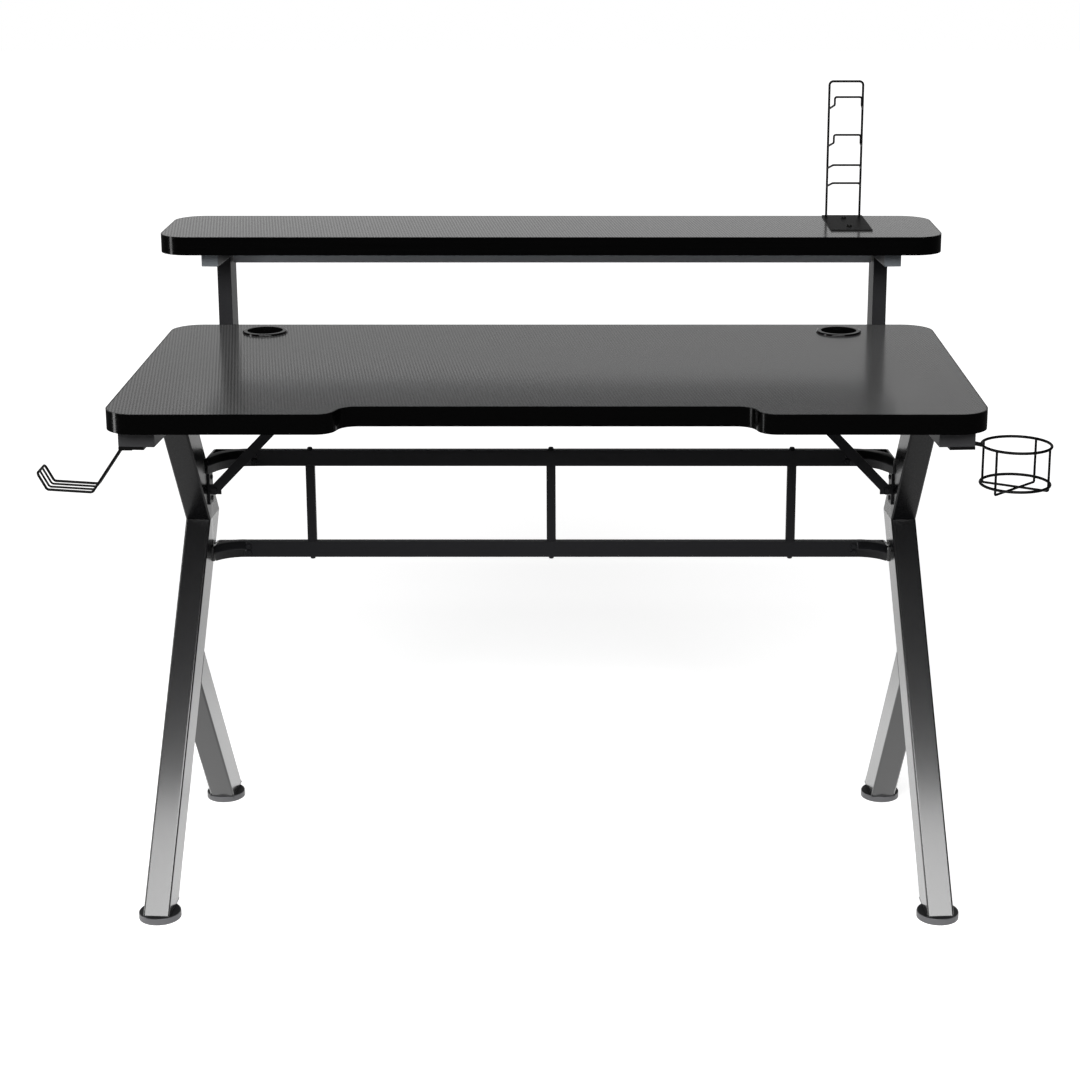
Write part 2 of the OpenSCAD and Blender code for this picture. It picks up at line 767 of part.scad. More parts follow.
// The area in front of a crossbar: from its middle line drawn out by off, with
// both ends made longer by more
module bar_area(corner, end, off, more) {
    r = bar_bend_r;
    u = unit(end - corner);
    n = [-u.y, u.x];
    bend = atan2(-u.y, u.x);
    trim = r * tan(bend / 2);
    a = corner + u * trim;
    b = corner - [trim, 0];
    c = b - [0, r];
    far = 2 * r;
    for (m = [0, 1]) mirror([m, 0]) {
        polygon([end + u * more - n * r, end + u * more + n * off, a + n * off, c,
            b + [0, off], [0, b.y + off], [0, end.y - r]]);
        intersection() {
            translate(c) circle(r + off + bar_swell);
            polygon([c, c + far * [sin(bend + bar_wedge), cos(bend + bar_wedge)],
                c + sqrt(2) * far * [sin(bend / 2), cos(bend / 2)],
                c + far * [-sin(bar_wedge), cos(bar_wedge)]]);
        }
    }
}

// A crossbar: a flat tube, hollow and open at its ends, bent the same way at both
module crossbar(z, end_y, bend) {
    corner = bar_corner(end_y, bend);
    end = bar_end(end_y, bend);
    color(frame_black) in_frame() difference() {
        translate([0, 0, z - bar_h / 2]) linear_extrude(bar_h) difference() {
            bar_area(corner, end, bar_t / 2, 0);
            bar_area(corner, end, -bar_t / 2, over);
        }
        translate([0, 0, z - bar_h / 2 + bar_wall]) linear_extrude(bar_h - 2 * bar_wall)
            difference() {
            bar_area(corner, end, bar_t / 2 - bar_wall, over);
            bar_area(corner, end, bar_wall - bar_t / 2, 2 * over);
        }
        outside_of(-leg_w / 2 - bar_tab_t);
        at_bar_bolts(z, end_y, bend) translate([0, 0, -bar_t]) screw_hole(2 * bar_t, bolt_d);
        translate([0, 0, z - bar_h]) at_struts() screw_hole(2 * bar_h, bolt_d);
    }
}
module upper_crossbar() { crossbar(upper_bar_z, up_end_y, up_bend); }
module lower_crossbar() { crossbar(lower_bar_z, low_end_y, low_bend); }

module at_struts() {
    for (x = [-1, 0, 1]) translate([x * strut_x, bar_y, 0]) children();
}

module strut(x) {
    bottom = lower_bar_z + bar_h / 2;
    top = upper_bar_z - bar_h / 2;
    color(frame_black) in_frame() translate([x * strut_x, bar_y, bottom]) difference() {
        translate([-strut_w / 2, -strut_d / 2, 0]) cube([strut_w, strut_d, top - bottom]);
        screw_hole(strut_bolt_bite + hole_gap, bolt_d);
        translate([0, 0, top - bottom]) mirror([0, 0, 1])
            screw_hole(strut_bolt_bite + hole_gap, bolt_d);
    }
}
module left_strut() { strut(-1); }
module centre_strut() { strut(0); }
module right_strut() { strut(1); }

module strut_bolts() {
    color(frame_black) in_frame() at_struts() {
        translate([0, 0, lower_bar_z - bar_h / 2])
            screw(bar_h + strut_bolt_bite, bolt_d, bolt_head_d, bolt_head_h);
        translate([0, 0, upper_bar_z + bar_h / 2]) mirror([0, 0, 1])
            screw(bar_h + strut_bolt_bite, bolt_d, bolt_head_d, bolt_head_h);
    }
}

module crossbar_bolts() {
    color(frame_black) in_frame() {
        at_bar_bolts(upper_bar_z, up_end_y, up_bend) bar_bolt();
        at_bar_bolts(lower_bar_z, low_end_y, low_bend) bar_bolt();
    }
}
module bar_bolt() {
    translate([0, 0, -bar_t / 2]) screw(bar_t + 3 * bar_tab_t, bolt_d, bolt_head_d, bolt_head_h);
}

// Places in the side frame of the brace's two bolts, z along the bolt to the back
module at_brace_foot() {
    translate([brace_foot_x, brace_y, brace_foot_z]) rotate([-90, 0, 0]) children();
}
module at_brace_head() {
    translate([brace_head_x, brace_y, brace_head_z]) rotate([-90, 0, 0]) children();
}

module brace(s) {
    run = brace_foot_x - brace_head_x;
    rise = brace_head_z - brace_foot_z;
    color(frame_black) in_frame() side(s) difference() {
        translate([brace_foot_x, brace_y + brace_t, brace_foot_z]) rotate([90, 0, 0])
            linear_extrude(brace_t) {
            circle(d = brace_w);
            translate([-run, rise]) circle(d = brace_w);
            rotate(atan2(rise, -run)) translate([0, -brace_w / 2])
                square([norm([run, rise]), brace_w]);
        }
        at_brace_foot() screw_hole(2 * brace_t, bolt_d);
        at_brace_head() screw_hole(2 * brace_t, bolt_d);
    }
}
module left_brace() { brace(-1); }
module right_brace() { brace(1); }

// The bent plate that holds a brace's lower end to the arm
module brace_foot(s) {
    color(frame_black) in_frame() side(s) difference() {
        union() {
            translate([-leg_w / 2 - brace_t, brace_y + brace_t, brace_foot_z - bracket_flange_h / 2])
                cube([brace_t, bracket_flange_d, bracket_flange_h]);
            translate([-leg_w / 2 - bracket_ear_w, brace_y + brace_t, brace_foot_z - brace_w / 2])
                cube([bracket_ear_w, brace_t, brace_w]);
        }
        at_brace_foot() screw_hole(3 * brace_t, bolt_d);
        at_bracket_screws() translate([0, 0, -2 * brace_t]) screw_hole(3 * brace_t, screw_d);
    }
}
module left_brace_foot() { brace_foot(-1); }
module right_brace_foot() { brace_foot(1); }

// The bent plate that holds a brace's upper end to the desktop's underside
module brace_head(s) {
    color(frame_black) in_frame() difference() {
        side(s) {
            translate([brace_head_x - head_flange_l / 2, brace_y + brace_t, board_z - brace_t])
                cube([head_flange_l, head_flange_d, brace_t]);
            translate([brace_head_x - brace_w / 2, brace_y + brace_t, brace_head_z - brace_w / 2])
                cube([brace_w, brace_t, board_z - brace_head_z + brace_w / 2]);
        }
        side(s) at_brace_head() screw_hole(3 * brace_t, bolt_d);
        translate([0, 0, board_z - brace_t]) at_head_screws() screw_hole(2 * brace_t, screw_d);
    }
}
module left_brace_head() { brace_head(-1); }
module right_brace_head() { brace_head(1); }

module brace_bolts() {
    color(frame_black) in_frame() for (s = [-1, 1]) side(s) {
        at_brace_foot() screw(3 * brace_t, bolt_d, bolt_head_d, bolt_head_h);
        at_brace_head() screw(3 * brace_t, bolt_d, bolt_head_d, bolt_head_h);
        at_bracket_screws() translate([0, 0, -brace_t])
            screw(brace_t + 2 * leg_wall, screw_d, screw_head_d, screw_head_h);
    }
}

// Places in the side frame of the bolts through the post's base plate
module at_post_bolts() {
    for (x = [-1, 1], share = post_bolt_share)
        translate([x * post_bolt_x, post_front_y + share * post_d, 0]) children();
}

module shelf_post(s) {
    color(frame_black) in_frame() side(s) difference() {
        union() {
            translate([-post_w / 2, post_front_y, board_z]) cube([post_w, post_d, shelf_rail_z - board_z]);
            translate([-post_plate_w / 2, post_front_y, board_z])
                cube([post_plate_w, post_d, post_plate_t]);
        }
        translate([-post_w / 2 + post_wall, post_front_y + post_wall, board_z - over])
            cube([post_w - 2 * post_wall, post_d - 2 * post_wall, shelf_rail_z - board_z + 2 * over]);
        at_post_bolts() translate([0, 0, board_z]) screw_hole(2 * post_plate_t, bolt_d);
    }
}
module left_shelf_post() { shelf_post(-1); }
module right_shelf_post() { shelf_post(1); }

module post_bolts() {
    color(zinc) in_frame() for (s = [-1, 1]) side(s) at_post_bolts()
        translate([0, 0, board_z + post_plate_t]) mirror([0, 0, 1])
        screw(post_plate_t + 2 * rail_wall, bolt_d, post_bolt_head_d, bolt_head_h);
}

module shelf_rail(s) {
    color(frame_black) in_frame() difference() {
        translate([0, 0, shelf_rail_z]) side(s) tube_y(shelf_rail_w, shelf_rail_h, rail_wall,
            shelf_rail_front_y + cap_t, shelf_rail_end_y - cap_t);
        translate([0, 0, shelf_rail_z]) at_shelf_screws() screw_hole(2 * shelf_rail_h, screw_d);
    }
}
module left_shelf_rail() { shelf_rail(-1); }
module right_shelf_rail() { shelf_rail(1); }

module shelf_rail_caps() {
    color(rubber_black) in_frame() end_caps(shelf_rail_w, shelf_rail_h, rail_wall,
        shelf_rail_z, shelf_rail_front_y, shelf_rail_end_y);
}

// The tube that joins the two shelf rails, under the shelf
module shelf_crossbar() {
    color(frame_black) in_frame() difference() {
        translate([-desktop_w / 2, shelf_bar_y - shelf_bar_t / 2, shelf_z - shelf_bar_h])
            cube([desktop_w, shelf_bar_t, shelf_bar_h]);
        translate([-desktop_w, shelf_bar_y - shelf_bar_t / 2 + rail_wall,
            shelf_z - shelf_bar_h + rail_wall])
            cube([2 * desktop_w, shelf_bar_t - 2 * rail_wall, shelf_bar_h - 2 * rail_wall]);
        outside_of(-shelf_rail_w / 2);
    }
}

module desktop_screws() {
    color(zinc) in_frame() {
        translate([0, 0, rail_z]) at_rail_screws()
            screw(rail_h + screw_bite - over, screw_d, screw_head_d, screw_head_h);
        translate([0, 0, board_z - brace_t]) at_head_screws()
            screw(brace_t + screw_bite - over, screw_d, screw_head_d, screw_head_h);
    }
}

module shelf_screws() {
    color(zinc) in_frame() translate([0, 0, shelf_rail_z]) at_shelf_screws()
        screw(shelf_rail_h + screw_bite - over, screw_d, screw_head_d, screw_head_h);
}

// A grommet's liner: a raised rim on the desktop, a sleeve in the hole and
// a ledge that the cap rests on
module grommet_liner(x) {
    outer = grommet_hole_d / 2 + grommet_rim;
    sleeve = grommet_hole_d / 2 - grommet_gap;
    bore = liner_inner_d / 2;
    color(rubber_black) in_frame() translate([x * grommet_x, grommet_y, desktop_z]) rotate_extrude() {
        translate([bore, 0]) square([outer - rim_lip - bore, rim_h]);
        translate([bore, 0]) square([outer - bore, rim_h - rim_lip]);
        translate([outer - rim_lip, rim_h - rim_lip]) intersection() {
            circle(rim_lip);
            square(rim_lip);
        }
        translate([bore, -liner_l]) square([sleeve - bore, liner_l + rim_h / 2]);
        translate([bore - ledge_w, -ledge_t - cap_skirt_l - ledge_gap])
            square([ledge_w + liner_wall / 2, ledge_t]);
    }
}
module left_grommet_liner() { grommet_liner(-1); }
module right_grommet_liner() { grommet_liner(1); }

// A grommet's cap: a shallow dish with a skirt, and a slot for the cables at the back
module grommet_cap(x) {
    r = cap_d / 2;
    color(rubber_black) in_frame() translate([x * grommet_x, grommet_y, desktop_z]) difference() {
        translate([0, 0, -cap_skirt_l]) cylinder(h = cap_skirt_l + cap_disc_t, r = r);
        translate([0, 0, -cap_skirt_l - over]) cylinder(h = cap_skirt_l + over, r = r - cap_skirt_t);
        translate([0, 0, cap_disc_t / 2]) cylinder(h = cap_disc_t, r = r - 2 * cap_skirt_t);
        translate([0, r - slot_depth + slot_w / 2, -cap_skirt_l - over])
            cylinder(h = cap_skirt_l + cap_disc_t + 2 * over, d = slot_w);
        translate([-slot_w / 2, r - slot_depth + slot_w / 2, -cap_skirt_l - over])
            cube([slot_w, slot_depth, cap_skirt_l + cap_disc_t + 2 * over]);
    }
}
module left_grommet_cap() { grommet_cap(-1); }
module right_grommet_cap() { grommet_cap(1); }

// Places in the side frame of the screws through an accessory plate
module at_plate_screws() {
    for (share = acc_screw_share)
        translate([rail_w / 2 - acc_screw_in * acc_plate_w, rail_front_y + share * acc_plate_l, 0])
        children();
}

module accessory_plate(s) {
    color(frame_black) in_frame() side(s) difference() {
        translate([rail_w / 2 - acc_plate_w, rail_front_y, acc_plate_z])
            cube([acc_plate_w, acc_plate_l, acc_plate_t]);
        at_plate_screws() translate([0, 0, acc_plate_z]) screw_hole(2 * acc_plate_t, screw_d);
    }
}
module hook_plate() { accessory_plate(-1); }
module cup_holder_plate() { accessory_plate(1); }

// Headphone hook: an outer wire bent into a cradle with an upturned tip and
// back again, and two thinner wires welded inside it
function hook_path(y) = [
    [hook_root_x - acc_wire_in, y, hook_wire_z],
    [hook_root_x, y, hook_wire_z],
    [hook_elbow_x, y, hook_wire_z - hook_drop],
    [hook_cradle_x, y, hook_wire_z - hook_drop + hook_cradle_rise],
    [hook_end_x - hook_wire_d / 2, y, hook_wire_z - hook_drop + hook_cradle_rise + hook_tip_rise]
];

module headphone_hook() {
    there = hook_path(hook_y);
    back = hook_path(hook_y + hook_w);
    color(frame_black) in_frame() mirror([1, 0, 0]) {
        bent_wire(concat(there, [for (i = [len(back) - 1:-1:0]) back[i]]), hook_wire_d, hook_tip_r);
        for (i = [1, 2])
            bent_wire(hook_path(hook_y + i * hook_w / 3), hook_inner_d, hook_tip_r);
    }
}

// Cup holder: two rings, two U-shaped wires that cross under the bottom ring,
// and two tails that run under the plate
module cup_holder() {
    r = cup_ring_d / 2;
    tail_z = acc_plate_z - cup_upright_d / 2 - cup_top_z;
    color(frame_black) in_frame() translate([cup_x, cup_y, cup_top_z]) {
        for (z = [0, -cup_h])
            translate([0, 0, z]) rotate_extrude() translate([r, 0]) circle(d = cup_wire_d);
        for (i = [0, 1]) {
            low_z = -cup_h - cup_drop - i * (cup_upright_d - cup_weld);
            rotate([0, 0, cup_angles[i]])
                bent_wire([[-r, 0, 0], [-r, 0, low_z], [r, 0, low_z], [r, 0, 0]],
                cup_upright_d, cup_bend_r);
        }
        for (y = [-1, 1] * cup_tail_apart / 2)
            bent_wire([[-sqrt(r * r - y * y), y, 0], [cup_plate_x - cup_tail_in[0] - cup_x, y, tail_z],
            [cup_plate_x - cup_tail_in[1] - cup_x, y, tail_z]],
            cup_upright_d, cup_tail_r);
    }
}

module accessory_screws() {
    color(zinc) in_frame() {
        for (s = [-1, 1]) side(s) at_plate_screws()
            translate([0, 0, acc_plate_z])
            screw(acc_screw_l, screw_d, screw_head_d, screw_head_h);
        translate([0, 0, shelf_z + shelf_t + rack_plate_t]) at_rack_screws()
            mirror([0, 0, 1]) screw(rack_screw_l, screw_d, screw_head_d, screw_head_h);
    }
}

module rack_base_plate() {
    color(frame_black) in_frame() difference() {
        translate([rack_x - rack_plate_w / 2, rack_y + rack_plate_back - rack_plate_l, shelf_z + shelf_t])
            cube([rack_plate_w, rack_plate_l, rack_plate_t]);
        translate([0, 0, shelf_z + shelf_t]) at_rack_screws() screw_hole(2 * rack_plate_t, screw_d);
    }
}

// The rack: one wire up from the plate, over and down again, with four loops
// welded to it. A loop runs forward, inward and up to a bar across the front,
// and the upper two have their bar on a raised lip.
module wire_rack() {
    x = rack_w / 2;
    top = rack_h - rack_wire_d / 2;
    front = x - rack_loop_in;
    y = -rack_loop_reach;
    z = rack_loop_rise;
    tip = z + rack_loop_lip;
    color(frame_black) in_frame() translate([rack_x, rack_y, shelf_z + shelf_t]) {
        bent_wire([[-x, 0, rack_plate_t], [-x, 0, top], [x, 0, top], [x, 0, rack_plate_t]],
            rack_wire_d, rack_corner_r);
        for (up = rack_lip_loop_z)
            translate([0, 0, up])
            bent_wire([[-x, 0, 0], [-front, y, z], [-front, y, tip],
            [front, y, tip], [front, y, z], [x, 0, 0]], rack_loop_d, rack_bend_r);
        for (up = rack_low_loop_z)
            translate([0, 0, up])
            bent_wire([[-x, 0, 0], [-front, y, z], [front, y, z], [x, 0, 0]],
            rack_loop_d, rack_bend_r);
    }
}

desktop_panel();
desktop_edge_band();
shelf_panel();
shelf_edge_band();
left_side_rail();
right_side_rail();
side_rail_caps();
left_upper_arm();
right_upper_arm();
left_front_leg();
right_front_leg();
left_rear_leg();
right_rear_leg();
front_left_leg_plug();
front_right_leg_plug();
rear_left_leg_plug();
rear_right_leg_plug();
front_left_foot_pad();
front_right_foot_pad();
rear_left_foot_pad();
rear_right_foot_pad();
front_left_foot_stem();
front_right_foot_stem();
rear_left_foot_stem();
rear_right_foot_stem();
upper_crossbar();
lower_crossbar();
left_strut();
centre_strut();
right_strut();
strut_bolts();
crossbar_bolts();
left_brace();
right_brace();
left_brace_foot();
right_brace_foot();
left_brace_head();
right_brace_head();
brace_bolts();
left_shelf_post();
right_shelf_post();
left_shelf_rail();
right_shelf_rail();
shelf_rail_caps();
shelf_crossbar();
post_bolts();
desktop_screws();
shelf_screws();
left_grommet_liner();
right_grommet_liner();
left_grommet_cap();
right_grommet_cap();
hook_plate();
headphone_hook();
cup_holder_plate();
cup_holder();
accessory_screws();
rack_base_plate();
wire_rack();
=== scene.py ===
"""Gaming desk with steel side frames, a monitor shelf and wire fittings, dressed for a studio picture."""
import json
import math

import bmesh
import bpy
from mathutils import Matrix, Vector

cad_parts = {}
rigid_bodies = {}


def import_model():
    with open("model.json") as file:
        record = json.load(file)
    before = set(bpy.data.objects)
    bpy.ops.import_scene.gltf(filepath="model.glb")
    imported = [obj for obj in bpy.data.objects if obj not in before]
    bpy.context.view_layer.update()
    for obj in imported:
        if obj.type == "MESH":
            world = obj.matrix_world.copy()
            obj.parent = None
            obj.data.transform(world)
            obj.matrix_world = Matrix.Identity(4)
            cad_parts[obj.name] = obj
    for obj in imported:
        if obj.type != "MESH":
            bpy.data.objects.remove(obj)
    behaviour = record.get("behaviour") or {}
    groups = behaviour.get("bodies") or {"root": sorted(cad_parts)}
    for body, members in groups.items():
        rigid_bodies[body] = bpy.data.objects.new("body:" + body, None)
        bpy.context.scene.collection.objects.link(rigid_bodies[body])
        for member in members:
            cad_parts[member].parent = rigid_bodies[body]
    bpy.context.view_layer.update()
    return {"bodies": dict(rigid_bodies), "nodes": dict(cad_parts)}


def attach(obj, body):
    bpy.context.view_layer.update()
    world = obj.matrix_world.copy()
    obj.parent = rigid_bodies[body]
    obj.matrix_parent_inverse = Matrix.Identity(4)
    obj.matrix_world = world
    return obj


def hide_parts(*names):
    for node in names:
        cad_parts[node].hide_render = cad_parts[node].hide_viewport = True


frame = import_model()
nodes = frame["nodes"]

# Camera: eye height of a person standing some three metres in front of the desk,
# a little to the right of its middle, with a long lens and a slight downward tilt.
PICTURE = 1080
SENSOR_MM = 36.0
FOCAL_PX = 2297.0
AIM_PX = (585.0, 452.0)
EYE = (0.052, -3.330, 1.489)
TILT_DOWN = math.radians(14.8)
NEAREST, FARTHEST = 0.05, 100.0
camera_data = bpy.data.cameras.new("camera")
camera_data.sensor_width = SENSOR_MM
camera_data.lens = FOCAL_PX * SENSOR_MM / PICTURE
camera_data.shift_x = (PICTURE / 2 - AIM_PX[0]) / PICTURE
camera_data.shift_y = (AIM_PX[1] - PICTURE / 2) / PICTURE
camera_data.clip_start = NEAREST
camera_data.clip_end = FARTHEST
camera = bpy.data.objects.new("camera", camera_data)
camera.location = EYE
camera.rotation_euler = (math.pi / 2 - TILT_DOWN, 0, 0)
bpy.context.scene.collection.objects.link(camera)
bpy.context.scene.camera = camera
bpy.context.scene.view_settings.view_transform = "Standard"

# Sky: the white wall of a studio behind the desk and a dark room in front of it. The
# camera sees it white everywhere, and glossy faces mirror white only where they look
# back, low and near the middle, as the wall stands there.
SKY_FILL = 0.22
ROOM_DARK = 0.05
WALL_FOOT, WALL_TOP = 0.95, 0.1
WALL_BACK_SPAN = (0.3, 0.7)
WALL_SIDE_SPAN = (0.45, 0.7)
WALL_HEIGHT_SPAN = (0.05, 0.3)


def linear(code):
    """An sRGB hex colour as the linear RGBA that the shader nodes take."""
    parts = [int(code[i:i + 2], 16) / 255 for i in (1, 3, 5)]
    return (*[c / 12.92 if c <= 0.04045 else ((c + 0.055) / 1.055) ** 2.4 for c in parts], 1.0)


def add(tree, kind, settings=None, **links):
    """Adds one node. settings holds its properties and constant inputs, links its linked inputs."""
    node = tree.nodes.new(kind)
    for key, value in (settings or {}).items():
        if isinstance(key, str) and hasattr(node, key):
            setattr(node, key, value)
        else:
            node.inputs[key].default_value = value
    for key, source in links.items():
        name = key.replace("_", " ")
        socket = node.inputs[int(key[1:])] if key[0] == "n" and key[1:].isdigit() else node.inputs[name]
        tree.links.new(source, socket)
    return node


def seen_straight(tree):
    """The light path node, and 1 for rays that the camera sends straight or through clear things."""
    rays = add(tree, "ShaderNodeLightPath")
    straight = add(tree, "ShaderNodeMath", {"operation": "MAXIMUM"},
                   n0=rays.outputs["Is Camera Ray"], n1=rays.outputs["Is Transmission Ray"])
    return rays, straight


world = bpy.data.worlds.new("white_studio")
bpy.context.scene.world = world
world.use_nodes = True
sky = world.node_tree
sky.nodes.clear()
rays, straight = seen_straight(sky)
place = add(sky, "ShaderNodeTexCoord")
way = add(sky, "ShaderNodeSeparateXYZ", {}, Vector=place.outputs["Generated"])
behind = add(sky, "ShaderNodeMapRange",
             {"From Min": WALL_BACK_SPAN[0], "From Max": WALL_BACK_SPAN[1],
              "To Min": ROOM_DARK, "To Max": 1.0}, Value=way.outputs["Y"])
low = add(sky, "ShaderNodeMapRange",
          {"From Min": WALL_HEIGHT_SPAN[0], "From Max": WALL_HEIGHT_SPAN[1],
           "To Min": WALL_FOOT, "To Max": WALL_TOP}, Value=way.outputs["Z"])
aside = add(sky, "ShaderNodeMath", {"operation": "ABSOLUTE"}, n0=way.outputs["X"])
wide = add(sky, "ShaderNodeMapRange",
           {"From Min": WALL_SIDE_SPAN[0], "From Max": WALL_SIDE_SPAN[1],
            "To Min": 1.0, "To Max": ROOM_DARK}, Value=aside.outputs[0])
wall = add(sky, "ShaderNodeMath", {"operation": "MINIMUM"}, n0=behind.outputs[0], n1=wide.outputs[0])
mirrored = add(sky, "ShaderNodeMath", {"operation": "MULTIPLY"}, n0=wall.outputs[0], n1=low.outputs[0])
glossy = add(sky, "ShaderNodeMix", {"data_type": "FLOAT", 2: SKY_FILL},
             n0=rays.outputs["Is Glossy Ray"], n3=mirrored.outputs[0])
level = add(sky, "ShaderNodeMix", {"data_type": "FLOAT", 3: 1.0},
            n0=straight.outputs[0], n2=glossy.outputs[0])
white_sky = add(sky, "ShaderNodeBackground", {"Color": linear("#ffffff")}, Strength=level.outputs[0])
add(sky, "ShaderNodeOutputWorld", {}, Surface=white_sky.outputs[0])

# Floor: a wide sheet of matt white paper. It glows a little more with distance, so
# that it runs into the white wall, and keeps the desk's shadow near by. In mirrored
# light it is white under and behind the desk and dark in front and at the sides.
FLOOR_HALF = 14.0
FLOOR_LIFT, FAR_LIFT = 0.58, 0.95
LIFT_SPAN = (0.8, 3.2)
SWEEP_DARK, SWEEP_WHITE = 0.05, 0.97
SWEEP_FRONT_SPAN = (-0.42, -0.27)
SWEEP_SIDE_SPAN = (1.2, 2.0)
PAPER_ROUGH = 0.95
PAPER_SHINE = 0.1


def new_material(name):
    """A material with an output and a Principled shader, and the tree they are in."""
    made = bpy.data.materials.new(name)
    made.use_nodes = True
    tree = made.node_tree
    tree.nodes.clear()
    shader = add(tree, "ShaderNodeBsdfPrincipled")
    add(tree, "ShaderNodeOutputMaterial", {}, Surface=shader.outputs["BSDF"])
    return made, tree, shader


def wear(node, material):
    """Gives a CAD node or a piece its one material."""
    node.data.materials.clear()
    node.data.materials.append(material)


floor_mesh = bpy.data.meshes.new("floor")
floor_corners = ((-1, -1), (1, -1), (1, 1), (-1, 1))
floor_mesh.from_pydata([(x * FLOOR_HALF, y * FLOOR_HALF, 0) for x, y in floor_corners], [], [(0, 1, 2, 3)])
floor = bpy.data.objects.new("floor", floor_mesh)
bpy.context.scene.collection.objects.link(floor)
paper, tree, shader = new_material("white_paper")
shader.inputs["Roughness"].default_value = PAPER_ROUGH
shader.inputs["Specular IOR Level"].default_value = PAPER_SHINE
shader.inputs["Emission Color"].default_value = linear("#ffffff")
rays, straight = seen_straight(tree)
place = add(tree, "ShaderNodeTexCoord")
spot = add(tree, "ShaderNodeSeparateXYZ", {}, Vector=place.outputs["Object"])
back = add(tree, "ShaderNodeMapRange",
           {"From Min": SWEEP_FRONT_SPAN[0], "From Max": SWEEP_FRONT_SPAN[1],
            "To Min": SWEEP_DARK, "To Max": SWEEP_WHITE}, Value=spot.outputs["Y"])
aside = add(tree, "ShaderNodeMath", {"operation": "ABSOLUTE"}, n0=spot.outputs["X"])
wide = add(tree, "ShaderNodeMapRange",
           {"From Min": SWEEP_SIDE_SPAN[0], "From Max": SWEEP_SIDE_SPAN[1],
            "To Min": 1.0, "To Max": SWEEP_DARK}, Value=aside.outputs[0])
sweep = add(tree, "ShaderNodeMath", {"operation": "MINIMUM"}, n0=back.outputs[0], n1=wide.outputs[0])
mirrored = add(tree, "ShaderNodeMath", {"operation": "MULTIPLY"},
               n0=rays.outputs["Is Glossy Ray"], n1=sweep.outputs[0])
seen = add(tree, "ShaderNodeMath", {"operation": "MAXIMUM"}, n0=straight.outputs[0], n1=mirrored.outputs[0])
away = add(tree, "ShaderNodeVectorMath", {"operation": "LENGTH"}, n0=place.outputs["Object"])
lift = add(tree, "ShaderNodeMapRange",
           {"From Min": LIFT_SPAN[0], "From Max": LIFT_SPAN[1],
            "To Min": FLOOR_LIFT, "To Max": FAR_LIFT}, Value=away.outputs["Value"])
glow = add(tree, "ShaderNodeMath", {"operation": "MULTIPLY"}, n0=seen.outputs[0], n1=lift.outputs[0])
tree.links.new(glow.outputs[0], shader.inputs["Emission Strength"])
bright = add(tree, "ShaderNodeMix", {"data_type": "FLOAT", 2: 1.0},
             n0=rays.outputs["Is Glossy Ray"], n3=sweep.outputs[0])
tone = add(tree, "ShaderNodeVectorMath", {"operation": "SCALE", 0: linear("#f4f4f4")[:3]},
           Scale=bright.outputs[0])
tree.links.new(tone.outputs[0], shader.inputs["Base Color"])
wear(floor, paper)

# Lamps: one large softbox in front of the desk and above it, aimed at the desk's
# middle below the desktop, and a tall narrow strip light at the left, facing the desk.
KEY_SIZE = (3.4, 1.0)
KEY_WATTS = 125.0
KEY_PLACE = Vector((0.0, -2.5, 2.05))
KEY_AIM = Vector((0.0, 0.0, 0.35))
STRIP_SIZE = (0.35, 2.2)
STRIP_WATTS = 30.0
STRIP_PLACE = Vector((-2.7, -0.45, 1.1))
STRIP_TURN = (math.pi / 2, 0, -math.pi / 2)
KEY_TURN = (KEY_AIM - KEY_PLACE).to_track_quat("-Z", "Y").to_euler()
for name, size, watts, where, turned in (
        ("key_softbox", KEY_SIZE, KEY_WATTS, KEY_PLACE, KEY_TURN),
        ("edge_strip", STRIP_SIZE, STRIP_WATTS, STRIP_PLACE, STRIP_TURN)):
    lamp_data = bpy.data.lights.new(name, "AREA")
    lamp_data.shape = "RECTANGLE"
    lamp_data.size, lamp_data.size_y = size
    lamp_data.energy = watts
    lamp = bpy.data.objects.new(name, lamp_data)
    lamp.location = where
    lamp.rotation_euler = turned
    bpy.context.scene.collection.objects.link(lamp)

# Boards: particle board under a printed and pressed PVC film with a fine woven
# look, a 2/2 twill of 1.15 mm tows. The tows that run back catch less light than those
# across. In depth they are drawn 8 mm long, as shorter ones are lost at this tilt.
MM = 0.001
TOW_MM = 1.15
TOW_LENGTH_MM = 8.0
TWILL_REPEAT = 4.0
TWILL_OVER = 1.5
TOW_CROWN = 0.5
TOW_RELIEF, TOW_RELIEF_MM = 0.35, 0.05
FILM_ROUGH = (0.13, 0.22)
FILM_IOR = 1.5
PRINT_PER_M, PRINT_DETAIL = 420.0, 2.0
PRINT_SHADE = (0.75, 1.25)


def smooth(node, angle=30.0):
    """Smooth shading for a CAD node's round faces."""
    node.data.polygons.foreach_set("use_smooth", [True] * len(node.data.polygons))
    node.data.set_sharp_from_angle(angle=math.radians(angle))


film, tree, shader = new_material("pvc_twill_film")
place = add(tree, "ShaderNodeTexCoord")
across = add(tree, "ShaderNodeSeparateXYZ", {}, Vector=place.outputs["Object"])
cell_x = add(tree, "ShaderNodeMath", {"operation": "DIVIDE", 1: TOW_MM * MM}, n0=across.outputs["X"])
cell_y = add(tree, "ShaderNodeMath", {"operation": "DIVIDE", 1: TOW_LENGTH_MM * MM}, n0=across.outputs["Y"])
step_x = add(tree, "ShaderNodeMath", {"operation": "FLOOR"}, n0=cell_x.outputs[0])
step_y = add(tree, "ShaderNodeMath", {"operation": "FLOOR"}, n0=cell_y.outputs[0])
diagonal = add(tree, "ShaderNodeMath", {"operation": "ADD"}, n0=step_x.outputs[0], n1=step_y.outputs[0])
turn = add(tree, "ShaderNodeMath", {"operation": "FLOORED_MODULO", 1: TWILL_REPEAT}, n0=diagonal.outputs[0])
